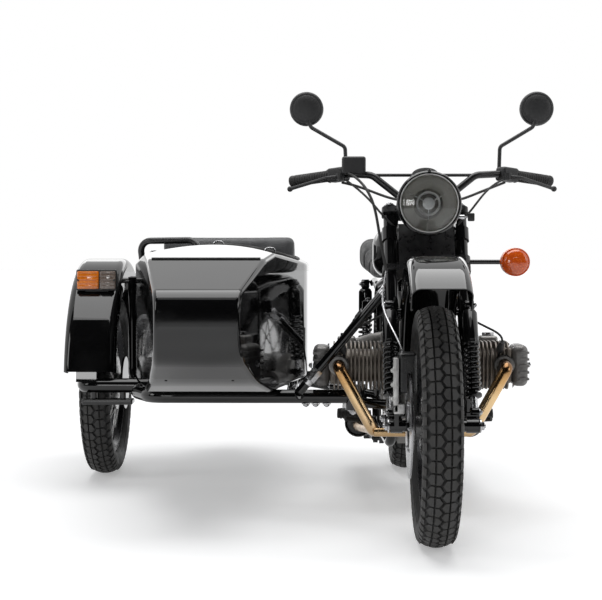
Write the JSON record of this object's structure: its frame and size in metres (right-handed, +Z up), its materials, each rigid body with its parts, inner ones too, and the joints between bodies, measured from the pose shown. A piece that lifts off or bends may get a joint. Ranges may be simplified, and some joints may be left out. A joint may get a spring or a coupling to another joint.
{
  "type": "sidecar motorcycle",
  "caption": "Flat-twin motorcycle with a leading-link fork and a passenger sidecar on its right, standing on spoked wheels, with steering, a trunk lid and a folding stand.",
  "frame": {"origin": "on the ground under the middle of the outline seen from above", "axes": "+Z up, -Y the way it drives, +X to the rider's left, so the sidecar lies towards -X"},
  "size_m": [1.632, 2.3384, 1.3309],
  "materials": {
    "paint_black": "gloss",
    "satin_black": "satin",
    "matte_black": "matte",
    "tyre": "matte",
    "rubber": "matte",
    "wheel_steel": "polished",
    "bright_steel": "satin",
    "engine_alloy": "cast",
    "fin_alloy": "cast",
    "header_bronze": "heat tinted",
    "muffler_black": "satin",
    "seat_black": "grained",
    "seat_grey": "grained",
    "lens_clear": "clear",
    "lens_red": "gloss",
    "lens_amber": "gloss"
  },
  "bodies": {
    "chassis": {"frame": "paint_black", "engine_case": "engine_alloy", "cylinders": "fin_alloy", "cylinder_heads": "fin_alloy", "rocker_covers": "engine_alloy", "carburettors": "engine_alloy", "exhaust_pipes": "header_bronze", "mufflers": "muffler_black", "fuel_tank": "paint_black", "fuel_cap": "bright_steel", "rider_seat": "seat_black", "rear_fender": "paint_black", "tail_lamps": "lens_red", "plate_bracket": "satin_black", "swingarm": "paint_black", "rear_shocks": "paint_black", "final_drive": "engine_alloy", "foot_pegs": "rubber", "side_boxes": "paint_black", "sidecar_frame": "paint_black", "sidecar_struts": "bright_steel", "sidecar_body": "paint_black", "sidecar_seat": "seat_grey", "sidecar_backrest": "seat_grey", "grab_rail": "satin_black", "sidecar_fender": "paint_black", "sidecar_front_lamp": "lens_amber", "sidecar_swingarm": "paint_black", "sidecar_shock": "paint_black"},
    "steering": {"fork_yokes": "satin_black", "fork_legs": "paint_black", "leading_link": "paint_black", "front_shocks": "paint_black", "front_fender": "paint_black", "headlight_shell": "paint_black", "headlight_lens": "lens_clear", "handlebar": "satin_black", "grips": "rubber", "hand_controls": "matte_black", "mirrors": "matte_black", "front_signal": "lens_amber", "speedometer": "matte_black", "brake_caliper": "satin_black"},
    "front_wheel": {"front_tyre": "tyre", "front_wheel": "wheel_steel", "brake_disc": "bright_steel"},
    "rear_wheel": {"rear_tyre": "tyre", "rear_wheel": "wheel_steel"},
    "sidecar_wheel": {"sidecar_tyre": "tyre", "sidecar_wheel": "wheel_steel"},
    "centre_stand": {"centre_stand": "satin_black"},
    "trunk_lid": {"trunk_lid": "paint_black"}
  },
  "joints": [
    {"name": "steering_turn", "type": "hinge", "parent": "chassis", "child": "steering", "pos_m": [0.3985, -0.46294, 0.85091], "axis": [0, 0.454, 0.891], "range_deg": [-35, 35]},
    {"name": "front_wheel_spin", "type": "hinge", "parent": "steering", "child": "front_wheel", "pos_m": [0.3985, -0.8365, 0.337], "axis": [1, 0, 0], "continuous": true},
    {"name": "rear_wheel_spin", "type": "hinge", "parent": "chassis", "child": "rear_wheel", "pos_m": [0.3985, 0.6635, 0.337], "axis": [1, 0, 0], "continuous": true},
    {"name": "sidecar_wheel_spin", "type": "hinge", "parent": "chassis", "child": "sidecar_wheel", "pos_m": [-0.7215, 0.5135, 0.337], "axis": [1, 0, 0], "continuous": true},
    {"name": "stand_fold", "type": "hinge", "parent": "chassis", "child": "centre_stand", "pos_m": [0.3985, 0.1485, 0.176], "axis": [-1, 0, 0], "range_deg": [0, 100], "stiffness_Nm_per_rad": 12, "springref_deg": -34.38},
    {"name": "trunk_lid_open", "type": "hinge", "parent": "chassis", "child": "trunk_lid", "pos_m": [-0.2675, 0.7135, 0.853], "axis": [1, 0, 0], "range_deg": [0, 70]}
  ]
}
